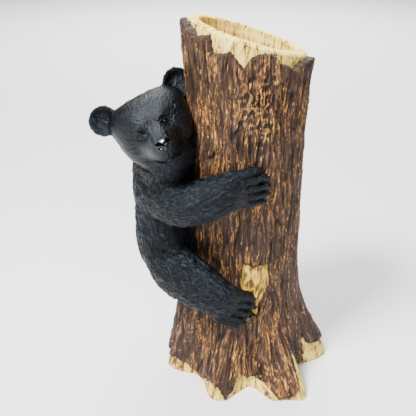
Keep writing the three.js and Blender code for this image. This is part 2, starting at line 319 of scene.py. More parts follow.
def insideBark(angle, height):  # how far inside the bark's torn outline a place lies
    rag = 2.6 * ringNoise(angle, height, 9, 9, 51) + 1.5 * ringNoise(angle, height, 3.4, 3.4, 52)
    sawn = sawnHeight(angle, stump["trunkRadius"] + stump["topSwell"])
    top = sawn - np.maximum(alongEdge(barkTop, angle), stump["rimRounding"] + 1)
    inside = np.minimum(top - height, height - alongEdge(barkFoot, angle)) + rag
    first, last = patchTop[0][0], patchTop[-1][0]
    held = np.clip(angle, first, last)
    sides = np.minimum(angle - first, last - angle) * math.radians(stump["trunkRadius"])
    ends = np.minimum(height - alongEdge(patchBottom, held), alongEdge(patchTop, held) - height)
    return np.minimum(inside, 0.7 * rag - np.minimum(ends, sides))


def woodRelief(angle, height):
    mark = {name: ringNoise(angle, height, *sizes) for name, sizes in woodMarks.items()}
    grooves = bell(mark["groove"], 0.12)
    nicks = bell(mark["nick"], 0.06)
    return 0.8 * mark["board"] + 0.55 * mark["thread"] - 1.4 * grooves - 1.1 * nicks


def ringTemplate(rows, innerRows=0):  # a grid rolled up round the axis, where z counts the rows
    shape = bmesh.new()
    segments = rows + innerRows if innerRows else rows - 1
    bmesh.ops.create_grid(shape, x_segments=stump["columns"], y_segments=segments, size=0.5)
    for vert in shape.verts:
        turn = math.tau * (vert.co.x + 0.5)
        row = round((vert.co.y + 0.5) * segments)
        radius, level = 1, row
        if innerRows and row == segments:
            level = 0
        elif row >= rows:  # the inner side runs back down at half the radius
            radius, level = 0.5, (rows - 1) * (1 - (row - rows) / (innerRows - 1))
        elif not innerRows and row in (0, rows - 1):
            radius = 0
        vert.co = (radius * math.cos(turn), radius * math.sin(turn), level)
    bmesh.ops.remove_doubles(shape, verts=[vert for vert in shape.verts if vert.is_boundary], dist=1e-5)
    bmesh.ops.recalc_face_normals(shape, faces=shape.faces)
    return shape


def templateAngles(points):  # columns crowd together towards the photographed front
    turn = np.arctan2(points[:, 1], points[:, 0])
    return (270 + np.degrees(turn - stump["crowding"] * np.sin(turn))) % 360


def setRound(mesh, angle, radius, height):
    turn = np.radians(angle)
    writePoints(mesh, np.column_stack((radius * np.cos(turn), radius * np.sin(turn), height)) * mm)


def makeBark(material, name, lowShare, highShare):  # a tube with a ragged outline that ends inside the wood
    rows = stump["barkRows"]
    mesh = meshFrom(ringTemplate(rows, 4), name)
    template = readPoints(mesh)
    angle = templateAngles(template)
    outer = np.hypot(template[:, 0], template[:, 1]) > 0.75
    row = template[:, 2]
    share = lowShare + (highShare - lowShare) * row / (rows - 1)
    sawn = sawnHeight(angle, stump["trunkRadius"] + stump["topSwell"])
    bottom = stump["barkBottom"]
    height = bottom + share * (sawn - stump["rimRounding"] - bottom)
    wood = woodRadius(angle, height)
    relief, brushed = barkHeights(angle, height)
    inside = insideBark(angle, height)
    cover = smoothStep(-0.9, 0.9, inside)
    peel = stump["barkCurl"] * (np.clip((share - stump["curlStart"]) / (1 - stump["curlStart"]), 0, 1)) ** 2
    thickness = np.maximum(stump["barkThickness"] + relief, barkRelief["thinnest"]) + peel
    thickness = thickness - 1.2 * bell(inside, 1.5)  # the torn edge thins out
    stand = cover * thickness - stump["barkSink"] * (1 - cover)
    stand -= 2 * ((row < 0.5) | (row > rows - 1.5))  # both ends of the tube turn in
    setRound(mesh, angle, np.where(outer, wood + stand, wood - stump["barkBack"]), height)
    grainAngle, grainHeight, _ = barkGrain(angle, height)
    storeVectors(mesh, "grain", onRing(grainAngle, grainHeight, 1000, 1000))
    storeNumbers(mesh, "raised", relief)
    storeNumbers(mesh, "brushed", brushed)
    storeNumbers(mesh, "torn", bell(inside - 0.5, 2.2))
    makePiece(name, mesh, material)


coreRows = {"foot": 44, "low": 6, "patch": 50, "high": 8, "top": 34}
coreLevels = (0, 100, 128, 244)  # where the first four start
topRows = 55  # how far below the sawn face the last starts
faceRows = {"corner": 6, "sawn": 14, "lip": 4, "well": 34}
patchArea = {"from": 258, "to": 303, "low": 120, "high": 250}
wellCracks = {"spacing": 16.5, "width": 0.7, "depth": 1.0, "hoops": (7, 20), "hoopWidth": 1.1}


def makeWood(material):  # the wood under the bark, from the ground over the sawn face into the well
    coreCount = sum(coreRows.values())
    rows = coreCount + sum(faceRows.values()) + 4
    mesh = meshFrom(ringTemplate(rows), "wood")
    template = readPoints(mesh)
    angle = templateAngles(template)
    row = np.rint(template[:, 2]).astype(int)
    edge = stump["trunkRadius"] + stump["topSwell"]
    sawn = sawnHeight(angle, edge)
    height, radius, raised, inWell = (np.zeros(len(row)) for _ in range(4))

    levels = [*coreLevels, sawn - topRows, sawn - stump["rimRounding"]]
    start = 2
    for (name, count), low, high in zip(coreRows.items(), levels, levels[1:]):
        here = (row >= start) & (row < start + count)
        share = (row - start) / (count - 1 if name == "top" else count)
        height = np.where(here, low + (high - low) * share, height)
        start += count
    outer = (row >= 2) & (row < start)
    raised[outer] = woodRelief(angle[outer], height[outer])
    radius[outer] = woodRadius(angle[outer], height[outer]) + raised[outer]
    raised[outer] -= 0.7 * bell(height[outer], 60)  # the root ends are painted darker towards the ground
    middle = (angle > patchArea["from"]) & (angle < patchArea["to"])
    middle = middle & (height > patchArea["low"]) & (height < patchArea["high"])
    waves = 1 - 3 * np.abs(ringNoise(angle[middle], height[middle], 7, 22, 66))
    raised[middle] += 2.0 * waves - 0.4
    radius[middle] += 0.9 * waves
    bottom = row == 1
    radius[bottom] = woodRadius(angle[bottom], height[bottom]) - 1.5

    def rounded(count, outside, inside, drop, outwards):  # a quarter round that starts upright or level
        nonlocal start
        for step in range(count):
            here = row == start + step
            turn = (step + 1) / count * math.pi / 2
            share, fall = 1 - math.cos(turn), 1 - math.sin(turn)
            if not outwards:
                share, fall = 1 - fall, share
            ring = outside[here] + (inside - outside[here]) * share
            radius[here] = ring
            height[here] = sawnHeight(angle[here], ring) - drop * fall
        start += count

    rimEdge = edge - stump["rimRounding"]
    lipEdge = wellRadius + stump["wellLip"]
    rounded(faceRows["corner"], woodRadius(angle, sawn), rimEdge, stump["rimRounding"], True)
    here = (row >= start) & (row < start + faceRows["sawn"])
    share = (row[here] - start + 1) / (faceRows["sawn"] + 1)
    radius[here] = rimEdge + (lipEdge - rimEdge) * share
    height[here] = sawnHeight(angle[here], radius[here])
    start += faceRows["sawn"]
    rounded(faceRows["lip"], np.full(len(row), lipEdge, float), wellRadius, stump["wellLip"], False)
    wellCount = faceRows["well"]
    here = (row >= start) & (row < start + wellCount)
    share = ((row[here] - start + 1) / wellCount) ** 2.2
    level = sawnHeight(angle[here], wellRadius) - stump["wellLip"]
    height[here] = level + (stump["wellFloor"] - level) * share
    radius[here] = wellRadius - stump["wellDraft"] * (level - height[here]) / stump["rimHeight"]
    inWell[here] = level - height[here]
    start += wellCount
    last = row >= start
    height[last] = stump["wellFloor"]
    radius[row == start] = wellRadius - stump["wellDraft"] - 3

    face = (row >= 2 + coreCount) & (row < start)
    spots = np.column_stack((onRing(angle, 0 * angle, 6)[:, :2], radius / 14))
    checks = bell(ringNoise(angle, radius, 4.5, 40, 61), 0.09)
    rings = 0.3 * np.sin(radius * 1.7 + 2 * gradientNoise(spots, 62))
    rough = 0.7 * gradientNoise(spots * (1, 1, 1.5), 63)
    along = np.radians(angle) * wellRadius + 2.5 * ringNoise(angle, height, 14, 12, 64)
    cell = wellCracks["spacing"]
    slots = bell((along + cell / 2) % cell - cell / 2, wellCracks["width"])
    depth = sawnHeight(angle, wellRadius) - height + 1.2 * ringNoise(angle, height, 12, 30, 65)
    hoops = sum(bell(depth - hoop, wellCracks["hoopWidth"]) for hoop in wellCracks["hoops"])
    wall = face & (inWell > 0)
    flat = face & ~wall
    height[flat] += (rings + 1.6 * rough - 1.5 * checks)[flat]
    raised[flat] = (rings + 1.5 * rough - 3.4 * checks)[flat]
    radius[wall] += (wellCracks["depth"] * (slots + 0.6 * hoops) - 0.4 * rough)[wall]
    raised[wall] = (1.1 * rough - 2.6 * slots - 1.1 * hoops)[wall]
    radius[(row == 0) | (row == rows - 1)] = 0
    setRound(mesh, angle, radius, height)
    storeVectors(mesh, "grain", onRing(angle, height, 1000, 1000))
    storeNumbers(mesh, "raised", raised)
    storeNumbers(mesh, "inWell", inWell)
    storeNumbers(mesh, "gold", middle)
    makePiece("wood", mesh, material)


barkPaint = {  # noises are scale for each metre, detail, roughness, stretch; stops are places on a ramp
    "crack": (0.004, 0.002, 0.001), "shade": (0.030, 0.014, 0.008), "brown": (0.112, 0.054, 0.026),
    "light": (0.245, 0.126, 0.058), "tan": (0.72, 0.39, 0.075), "rust": (0.66, 0.27, 0.045),
    "stops": {"crack": 0.16, "shade": 0.36, "brown": 0.56, "light": 0.85}, "rustFrom": 0.40, "rustTo": 0.62,
    "streaks": (320, 4, 0.65, (1, 1, 0.11)), "threads": (800, 3, 0.6, (1, 1, 0.055)),
    "blotches": (30, 3, 0.5, (1, 1, 0.6)),
    "reliefWeight": 0.11, "reliefLevel": 0.44, "streakWeight": 1.1, "tornShade": 0.18,
    "threadBrush": 1.3, "blotchBrush": 1.6, "tornBrush": 0.8, "brushContrast": 1.6, "brushStart": -1.05,
    "splitContrast": 12, "roughness": 0.6, "specular": 0.3,
    "bumpStrength": 1.0, "bumpDepth": 0.0022, "threadBump": 0.6,
}
woodPaint = {
    "darkWood": (0.10, 0.045, 0.014), "ochre": (0.58, 0.36, 0.07), "cream": (0.88, 0.64, 0.12),
    "pale": (0.95, 0.79, 0.25), "gold": (0.56, 0.33, 0.035), "goldDirt": (0.14, 0.062, 0.014),
    "stops": {"darkWood": 0.05, "ochre": 0.26, "cream": 0.46, "pale": 0.78},
    "patchStops": {"goldDirt": 0.26, "gold": 0.60, "cream": 1.0},
    "streaks": (260, 4, 0.6, (1, 1, 0.16)), "threads": (800, 3, 0.6, (1, 1, 0.16)), "blotches": (40, 3, 0.5),
    "reliefWeight": 0.22, "reliefLevel": 0.55, "streakWeight": 1.1, "blotchWeight": 0.8, "wellShade": 0.01,
    "roughness": 0.6, "specular": 0.3, "bumpStrength": 0.6, "bumpDepth": 0.0012, "threadBump": 0.6,
}


def grainNoises(tree, paint):
    grain = attributeNode(tree, "grain", "Vector")
    return [noiseNode(tree, grain, *paint[name]) for name in ("streaks", "threads", "blotches")]


def finishPaint(tree, shader, paint, colour, streaks, threads):
    height = addShare(tree, streaks, threads, paint["threadBump"])
    setInputs(tree, shader, {
        "Base Color": colour, "Roughness": paint["roughness"], "Specular IOR Level": paint["specular"],
        "Normal": bumpNode(tree, height, paint["bumpStrength"], paint["bumpDepth"]),
    })


def barkMaterial():
    paint = barkPaint
    material, tree, shader = newMaterial("painted bark")
    torn = attributeNode(tree, "torn")
    streaks, threads, blotches = grainNoises(tree, paint)
    raised = attributeNode(tree, "raised")
    level = mathNode(tree, "MULTIPLY_ADD", raised, paint["reliefWeight"], paint["reliefLevel"])
    level = addShare(tree, level, streaks, paint["streakWeight"], 0.5)
    level = addShare(tree, level, torn, -paint["tornShade"])
    base = paintRamp(tree, level, paint, "stops")
    brush = addShare(tree, attributeNode(tree, "brushed"), threads, paint["threadBrush"], 0.5)
    brush = addShare(tree, brush, blotches, paint["blotchBrush"], 0.5)
    brush = addShare(tree, brush, torn, -paint["tornBrush"])
    brush = mathNode(tree, "MULTIPLY_ADD", brush, paint["brushContrast"], paint["brushStart"], clamp=True)
    warmth = rampNode(tree, blotches, [(paint["rustFrom"], (0, 0, 0)), (paint["rustTo"], (1, 1, 1))])
    colour = mixNode(tree, brush, base, mixNode(tree, warmth, paint["tan"], paint["rust"]))
    apart = mathNode(tree, "ABSOLUTE", mathNode(tree, "SUBTRACT", streaks, 0.5))
    split = mathNode(tree, "MULTIPLY", apart, paint["splitContrast"], clamp=True)
    colour = mixNode(tree, split, paint["shade"], colour)
    finishPaint(tree, shader, paint, colour, streaks, threads)
    return material


def woodMaterial():
    paint = woodPaint
    material, tree, shader = newMaterial("bare painted wood")
    streaks, threads, blotches = grainNoises(tree, paint)
    raised = attributeNode(tree, "raised")
    level = mathNode(tree, "MULTIPLY_ADD", raised, paint["reliefWeight"], paint["reliefLevel"])
    level = addShare(tree, level, streaks, paint["streakWeight"], 0.5)
    level = addShare(tree, level, blotches, paint["blotchWeight"], 0.5)
    pale = paintRamp(tree, level, paint, "stops")
    golden = paintRamp(tree, level, paint, "patchStops")
    colour = mixNode(tree, attributeNode(tree, "gold"), pale, golden)
    deep = mathNode(tree, "MULTIPLY", attributeNode(tree, "inWell"), paint["wellShade"], clamp=True)
    colour = mixNode(tree, deep, colour, paint["ochre"], "MULTIPLY")
    finishPaint(tree, shader, paint, colour, streaks, threads)
    return material


# Bear: a station is an angle round the stump, a distance out from its bark and a height over the seat,
# then a half breadth and a half depth

bear = {
    "seat": 150, "voxel": 1.8, "neckCut": 388, "wallMargin": 5,
    "jointPasses": 70, "jointReach": 36, "passes": 7, "hollowPasses": 14,
    "strokeLength": 5, "strokeWidth": 2.1, "strokeDepth": 1.5,
    "tuftLength": 9, "tuftWidth": 4.2, "tuftDepth": 0.9, "lumpWidth": 14, "lumpDepth": 1.4,
    "headEdge": (140, 110), "headFoot": (380, 402), "facePatch": (46, 52, 24), "headGloss": 0.3,
    "pawFrom": 72, "toesFrom": (76, 86), "toeGroove": 0.8,
    "faceCalm": 0.72, "earCalm": 0.75, "earBaseFur": 0.8, "toeCalm": 0.75,
}
barkRadius = stump["trunkRadius"] + stump["barkThickness"]

torsoStations = [
    (182, 30, 47, 50, 42), (182, 34, 70, 61, 49), (181, 37, 98, 62, 52), (181, 39, 128, 57, 50),
    (181, 38, 160, 60, 50), (182, 41, 196, 62, 50), (185, 44, 226, 54, 45), (190, 46, 250, 48, 40),
]
neckStations = [(186, 40, 212, 50, 44), (197, 38, 240, 50, 42), (203, 36, 264, 46, 40)]
armStations = [
    (198, 44, 188, 40, 38), (213, 38, 188, 38, 34), (227, 31, 193, 36, 31), (241, 25, 207, 33, 27),
    (254, 20, 220, 30, 21), (264, 12, 223, 30, 14),
]
legStations = [
    (198, 40, 72, 37, 38), (212, 40, 67, 42, 38), (228, 32, 56, 42, 34), (242, 24, 40, 38, 27),
    (251, 17, 24, 35, 20), (256, 12, 16, 31, 15),
]
frontPaw = {
    "knuckles": [(254, 243), (254, 233), (254, 223), (254, 212), (254, 202)],
    "tips": [(277, 250), (284, 238), (286, 225), (285.5, 212), (282.5, 200)],
    "toeRadius": 8.2, "clawLength": 4.5, "clawBase": 2.2, "rises": (15, 12, 4.5),
}
hindPaw = {
    "knuckles": [(256, 46), (253, 35), (249, 24), (245, 12), (241, 2)],
    "tips": [(274.5, 31), (275.5, 15), (272, 0), (266.5, -13), (259, -20)],
    "toeRadius": 9.8, "clawLength": 8.5, "clawBase": 3.4, "rises": (14, 12.5, 6),
}
toeTaper = 0.86
jointStations = [(201, 46, 192), (201, 42, 68), (197, 44, 258), (192, 50, 232)]  # shoulder, hip, nape, collar


def onBark(angle, out, height):
    reach = barkRadius + out
    turn = math.radians(angle)
    return np.array((reach * math.cos(turn), reach * math.sin(turn), bear["seat"] + height))


def mirrored(stations, side):  # side is 1 for the limbs in front and -1 for those behind the stump
    return [(180 + side * (station[0] - 180), *station[1:]) for station in stations]


def alongCurve(values, share):  # a Catmull-Rom curve through the rows of values
    values = np.asarray(values, float)
    padded = np.vstack((2 * values[0] - values[1], values, 2 * values[-1] - values[-2]))
    place = np.clip(share, 0, 1) * (len(values) - 1)
    index = np.minimum(place.astype(int), len(values) - 2)
    part = (place - index)[:, None]
    before, first, second, after = (padded[index + step] for step in range(4))
    return 0.5 * (2 * first + (second - before) * part
                  + (2 * before - 5 * first + 4 * second - after) * part ** 2
                  + (3 * first - before - 3 * second + after) * part ** 3)


def unitRows(rows):
    rows = np.atleast_2d(np.asarray(rows, float))
    return rows / np.maximum(np.linalg.norm(rows, axis=1, keepdims=True), 1e-9)


def acrossNormals(directions, normals):  # the part of the directions that lies in the surface
    return unitRows(directions - normals * (directions * normals).sum(axis=1, keepdims=True))


def curveFrame(stations, share):
    centres = np.array([onBark(*station[:3]) for station in stations])
    sizes = np.array([station[3:] for station in stations], float)
    centre = alongCurve(centres, share)
    before, after = (alongCurve(centres, np.clip(share + step, 0, 1)) for step in (-0.01, 0.01))
    along = unitRows(after - before)
    outwards = acrossNormals(centre * (1, 1, 0), along)
    return centre, alongCurve(sizes, share), along, outwards


def addSwept(shape, stations, segments, rings):  # a sphere drawn out along its stations
    made = bmesh.ops.create_uvsphere(shape, u_segments=segments, v_segments=rings, radius=1)["verts"]
    unit = np.array([vert.co[:] for vert in made])
    capShare = 0.2
    polar = np.arccos(np.clip(unit[:, 2], -1, 1)) / math.pi
    share = np.clip((polar - capShare) / (1 - 2 * capShare), 0, 1)
    capTurn = np.clip(np.maximum(capShare - polar, polar - 1 + capShare) / capShare, 0, 1) * math.pi / 2
    centre, size, along, outwards = curveFrame(stations, share)
    across = np.cross(outwards, along)
    bulge = np.sin(capTurn) * size.min(axis=1) * np.where(polar > 0.5, 1, -1)
    flat = unit[:, :2] / np.maximum(np.linalg.norm(unit[:, :2], axis=1, keepdims=True), 1e-9)
    shrink = np.cos(capTurn)
    points = centre + along * bulge[:, None]
    points = points + across * (flat[:, 0] * size[:, 0] * shrink)[:, None]
    points = points + outwards * (flat[:, 1] * size[:, 1] * shrink)[:, None]
    for vert, point in zip(made, points):
        vert.co = point


def toeStations(paw, index, side):
    (rootAngle, rootHeight), (tipAngle, tipHeight) = paw["knuckles"][index], paw["tips"][index]
    radius = paw["toeRadius"]
    end = radius * toeTaper
    stations = [
        (rootAngle, paw["rises"][0], rootHeight, radius, radius),
        ((rootAngle + tipAngle) / 2, paw["rises"][1], (rootHeight + tipHeight) / 2, radius, radius),
        (tipAngle, paw["rises"][2], tipHeight, end, end),
    ]
    return mirrored(stations, side)


# Head: right, up and forward are its own directions, from behind the middle of its eyes

head = {
    "angle": 195.6, "out": 55, "height": 299, "roll": 26, "yaw": 5, "pitch": 15,
    "right": 59, "up": 48, "forward": 54, "lift": 5, "squareness": 2.3,
}
muzzleAim = (0, -0.4, 1)
headForms = [  # direction, out, spread in degrees, edge
    (muzzleAim, 37, 22, 2.5), ((0, -0.06, 1), 8, 14, 2), ((0, -1, 0.9), 13, 18, 2),
]
sideForms = [  # eye socket, brow, cheek and crown of each side
    ((0.37, -0.04, 1), -7, 9, 2), ((0.38, 0.2, 1), 4, 12, 2),
    ((0.75, -0.85, 0.5), 11, 26, 2), ((0.85, 0.55, 0), 8, 26, 2),
]
headForms += [((side * aim[0], *aim[1:]), *form) for side in (-1, 1) for aim, *form in sideForms]
ear = {
    "side": 63, "up": 43, "back": 4, "turn": 12,
    "dish": [(0, -9), (9, -8.8), (16, -7.2), (21, -3.6), (24, 1.5), (24.3, 4.5), (22.8, 5.6), (20.5, 4.6),
             (17, 1.0), (11, -3.0), (0, -4.5)],
}
face = {
    "sink": 3, "eye": (0.36, -0.03, 1), "eyeHalf": 6.4, "eyeTall": 2.2, "eyeSlant": {-1: 24, 1: 4},
    "lidRise": 2.0, "eyeball": (6.6, 5.6, 5.8), "eyeballSink": 3.5,
    "nose": (0.03, -0.355, 1), "noseSize": (12.5, 8.5, 8), "nosePad": (11.5, 8.0), "noseRise": 2.2,
    "mouthDrop": 25,
}


def headReach(directions):
    spans = np.abs(directions / (head["right"], head["up"], head["forward"]))
    reach = (spans ** head["squareness"]).sum(axis=1) ** (-1 / head["squareness"])
    for aim, out, spread, edge in headForms:
        apart = np.degrees(np.arccos(np.clip(directions @ unitRows(aim)[0], -1, 1)))
        reach = reach + out * bell(apart, spread, edge)
    return reach


def headMatrix():
    turn = Matrix.Rotation(math.radians(head["yaw"]), 4, "Z")
    turn = turn @ Matrix.Rotation(math.radians(90 - head["pitch"]), 4, "X")
    turn = turn @ Matrix.Rotation(math.radians(head["roll"]), 4, "Z")
    return Matrix.Translation(onBark(head["angle"], head["out"], head["height"])) @ turn


def toHead(points):
    matrix = np.array(headMatrix().inverted())
    return points @ matrix[:3, :3].T + matrix[:3, 3]


def onFace(aim, sink):
    direction = unitRows(aim)
    centre = direction * (headReach(direction) - sink)[:, None]
    return centre[0] + (0, head["lift"], 0)


def addSkull(shape):
    made = bmesh.ops.create_uvsphere(shape, u_segments=120, v_segments=90, radius=1)["verts"]
    unit = np.array([vert.co[:] for vert in made])
    polar = np.arccos(np.clip(unit[:, 2], -1, 1))
    spread = math.pi * (polar / math.pi) ** 1.25
    turn = np.arctan2(unit[:, 1], unit[:, 0])
    unit = np.column_stack((np.cos(turn) * np.sin(spread), np.sin(turn) * np.sin(spread), np.cos(spread)))
    drop = Matrix.Rotation(math.atan2(-muzzleAim[1], muzzleAim[2]), 3, "X")
    unit = unit @ np.array(drop).T
    points = unit * headReach(unit)[:, None] + (0, head["lift"], 0)
    for vert, point in zip(made, points):
        vert.co = headMatrix() @ Vector(point)


def addLump(shape, centre, sizes):
    matrix = headMatrix() @ Matrix.Translation(centre) @ Matrix.Diagonal((*sizes, 1))
    bmesh.ops.create_uvsphere(shape, u_segments=32, v_segments=20, radius=1, matrix=matrix)


def addEar(shape, side):
    before = set(shape.verts)
    profile = [shape.verts.new((radius, 0, forward)) for radius, forward in ear["dish"]]
    edges = [shape.edges.new(pair) for pair in zip(profile, profile[1:])]
    bmesh.ops.spin(shape, geom=profile + edges, cent=(0, 0, 0), axis=(0, 0, 1), angle=math.tau,
                   steps=40, use_merge=True, use_duplicate=False)
    made = [vert for vert in shape.verts if vert not in before]
    bmesh.ops.remove_doubles(shape, verts=made, dist=1e-4)
    made = [vert for vert in shape.verts if vert not in before]
    faces = {ring for vert in made for ring in vert.link_faces}
    bmesh.ops.recalc_face_normals(shape, faces=list(faces))
    matrix = headMatrix() @ Matrix.Translation((side * ear["side"], ear["up"], -ear["back"]))
    matrix = matrix @ Matrix.Rotation(math.radians(side * ear["turn"]), 4, "Y")
    bmesh.ops.transform(shape, matrix=matrix, verts=made)


def remeshed(shape, voxel, name):
    mesh = meshFrom(shape, name)
    holder = bpy.data.objects.new(name, mesh)
    bpy.context.scene.collection.objects.link(holder)
    modifier = holder.modifiers.new("skin", "REMESH")
    modifier.mode = "VOXEL"
    modifier.voxel_size = voxel
    solid = bpy.data.meshes.new_from_object(holder.evaluated_get(bpy.context.evaluated_depsgraph_get()))
    bpy.data.objects.remove(holder)
    bpy.data.meshes.remove(mesh)
    solid.name = name
    return solid


def relaxed(mesh, strength, passes):  # each point moves towards the middle of its neighbours
    points = readPoints(mesh)
    edges = np.empty(len(mesh.edges) * 2, dtype=np.int32)
    mesh.edges.foreach_get("vertices", edges)
    first, second = edges.reshape(-1, 2).T
    count = np.bincount(edges, minlength=len(points))
    for _ in range(passes):
        middle = [(np.bincount(first, points[second, axis], len(points))
                   + np.bincount(second, points[first, axis], len(points))) / count for axis in range(3)]
        points = points + (np.column_stack(middle) - points) * strength[:, None]
    writePoints(mesh, points)


def hollowDepth(mesh, passes):  # how far each place lies below what is round it
    points, normals = readPoints(mesh), readNormals(mesh)
    relaxed(mesh, np.ones(len(points)), passes)
    depth = ((readPoints(mesh) - points) * normals).sum(axis=1)
    writePoints(mesh, points)
    return np.maximum(depth, 0)


def groove(points, corners, width, taper=(0, 0)):  # 1 on a curve through the corners, falling to 0 beside it
    line = alongCurve(corners, np.linspace(0, 1, 30))
    margin = width * 3
    inside = (points > line.min(axis=0) - margin) & (points < line.max(axis=0) + margin)
    near = np.flatnonzero(inside.all(axis=1))
    apart = np.linalg.norm(points[near, None] - line[None], axis=2)
    place = apart.argmin(axis=1) / (len(line) - 1)
    depth = bell(apart.min(axis=1), width)
    for share, end in zip(taper, (place, 1 - place)):
        depth = depth * (smoothStep(-0.05, share, end) if share else 1)
    result = np.zeros(len(points))
    result[near] = depth
    return result


bodyFolds = [  # folds of the pelt: points as angle, out and height, then depth and width
    ([(196, 60, 152), (214, 52, 150), (228, 32, 152)], 3.2, 4.5),
    ([(190, 76, 92), (210, 58, 106), (230, 28, 112)], 3.0, 4.5),
    ([(205, 50, 128), (220, 38, 131), (230, 24, 134)], 1.8, 3.5),
    ([(184, 84, 240), (204, 76, 240), (222, 34, 246)], 2.6, 3.5),
    ([(186, 86, 226), (204, 74, 222), (220, 48, 226)], 2.0, 3.0),
    ([(190, 86, 212), (206, 74, 209), (216, 58, 212)], 1.4, 3.0),
]


def foldDepth(points):
    depth = np.zeros(len(points))
    lines = [([onBark(*corner) for corner in corners], deep, width) for corners, deep, width in bodyFolds]
    for side in (1, -1):
        for paw in (frontPaw, hindPaw):
            for index in range(4):
                pair = [toeStations(paw, step, side) for step in (index, index + 1)]
                corners = [(onBark(*first[:3]) + onBark(*second[:3])) / 2 for first, second in zip(*pair)]
                radius = paw["toeRadius"]
                corners = [corner * (1 + radius * 0.55 / np.linalg.norm(corner[:2]) * np.array((1, 1, 0)))
                           for corner in corners]
                corners[0] = corners[0] * 0.6 + corners[1] * 0.4
                lines.append((corners, radius * 0.34, radius * 0.30))
    for corners, deep, width in lines:
        depth += deep * groove(points, corners, width, (0.25, 0.1))
    return depth


def faceRelief(points):  # points in the head's own directions
    place = points[:, :2]
    front = smoothStep(15, 30, points[:, 2])
    jaw = smoothStep(25, 40, points[:, 2])
    onMuzzle = smoothStep(45, 58, points[:, 2])
    relief = np.zeros(len(points))
    smooth = smoothStep(42, 60, points[:, 2])
    nose = onFace(face["nose"], face["sink"])[:2]
    bridge = smoothStep(-24, -14, points[:, 1]) * smoothStep(14, 2, points[:, 1])
    relief += 2.0 * bell(np.abs(points[:, 0]) - 9.5, 3.5) * bridge * front
    across = (points[:, 0] - nose[0]) / (face["nosePad"][0] + 0.25 * (points[:, 1] - nose[1]))
    rise = (points[:, 1] - nose[1] - 1) / face["nosePad"][1]
    pad = smoothStep(1.1, 0.8, (np.abs(across) ** 2.6 + np.abs(rise) ** 2.6) ** (1 / 2.6)) * onMuzzle
    relief += face["noseRise"] * pad
    for side in (-1, 1):
        eye = onFace((side * face["eye"][0], *face["eye"][1:]), face["sink"])[:2]
        slant = math.radians(side * face["eyeSlant"][side])
        turn = np.array(((math.cos(slant), -math.sin(slant)), (math.sin(slant), math.cos(slant))))
        offset = (place - eye) @ turn
        across, up = offset[:, 0] / face["eyeHalf"], offset[:, 1]
        lid = face["eyeTall"] * np.clip(1 - across ** 2, 0, 1)
        opening = bell(across, 1.0, 6) * smoothStep(-0.7, 0.5, lid - np.abs(up))
        beside = (1 - opening) * front
        relief -= 2.2 * opening * front
        relief += face["lidRise"] * bell(up - lid - 1.5, 1.4) * bell(across, 1.25, 4) * beside
        relief += 1.8 * bell(up + lid + 1.4, 1.3) * bell(across, 1.05, 4) * beside
        relief -= 1.2 * bell(up - lid - 4.0, 1.0) * bell(across + side * 0.5, 1.0, 4) * front
        relief += 1.8 * bell(up - lid - 7.0, 3.2) * bell(across + side * 0.2, 1.6, 4) * front
        relief -= 0.7 * bell(up + lid + 3.8, 1.2) * bell(across + side * 0.3, 0.8, 4) * front
        creases = [
            ([(-5.5, 1.0), (-8.0, 4.5), (-8.5, 10.5)], 1.6, 1.2),
            ([(-8.5, -0.5), (-12.0, 5.0), (-12.5, 11)], 1.0, 1.2),
            ([(-6.0, -1.5), (-9.0, -8.0), (-9.5, -17)], 1.2, 2.2),
            ([(5.5, -1.0), (9.0, -3.5), (11.5, -7.5)], 0.8, 1.3),
            ([(-4.0, -8.0), (2.0, -10.0), (7.5, -8.0)], 0.9, 1.5),
        ]
        for corners, deep, width in creases:
            corners = [eye + (side * corner[0], corner[1]) for corner in corners]
            relief -= deep * groove(place, corners, width) * front
        comma = [nose + (side * corner[0], corner[1]) for corner in ((3.2, -3.6), (5.4, -1.6), (8.8, -0.6))]
        relief -= 3.2 * groove(place, comma, 1.5) * onMuzzle
        drop = face["mouthDrop"]
        mouth = [(0, 2 - drop), (7, -drop), (15, 1 - drop), (22, 6 - drop)]
        lip = [nose + (side * corner[0], corner[1]) for corner in mouth]
        under = [corner - (0, 2.8) for corner in lip]
        relief += (1.2 * groove(place, under, 1.6) - 2.4 * groove(place, lip, 1.2)) * jaw
        smooth = np.maximum(smooth, bell(np.hypot(offset[:, 0], offset[:, 1]), 11, 4) * front)
    philtrum = [nose + (0, -face["nosePad"][1]), nose + (0, -14), nose + (0, -21)]
    relief -= 1.5 * groove(place, philtrum, 1.1) * onMuzzle
    return relief, smooth, pad


def furBones():  # the curves that the fur follows, from head to tail and from shoulder to paw
    bones = [torsoStations[::-1], neckStations[::-1]]
    for side in (1, -1):
        bones.append(mirrored(armStations, side))
        bones.append(mirrored(legStations, side))
    return bones


def furDirection(points, normals, local, onHead):
    total = np.zeros_like(points)
    for stations in furBones():
        centre, size, along, _ = curveFrame(stations, np.linspace(0, 1, 24))
        apart = np.linalg.norm(points[:, None] - centre[None], axis=2) / size.max(axis=1)
        total += along[apart.argmin(axis=1)] / (apart.min(axis=1) ** 8 + 1e-3)[:, None]
    awayFromNose = (unitRows(local) - unitRows(muzzleAim)) @ np.array(headMatrix().to_3x3()).T
    total = unitRows(total) * (1 - onHead)[:, None] + unitRows(awayFromNose) * onHead[:, None]
    return acrossNormals(total, normals)


def furStrokes(points, direction, length, width, seed):  # noise smeared along the fur's direction
    steps = np.linspace(-0.5, 0.5, 7)
    strokes = sum(gradientNoise((points + direction * step * length) / width, seed) for step in steps)
    return strokes / 3.2


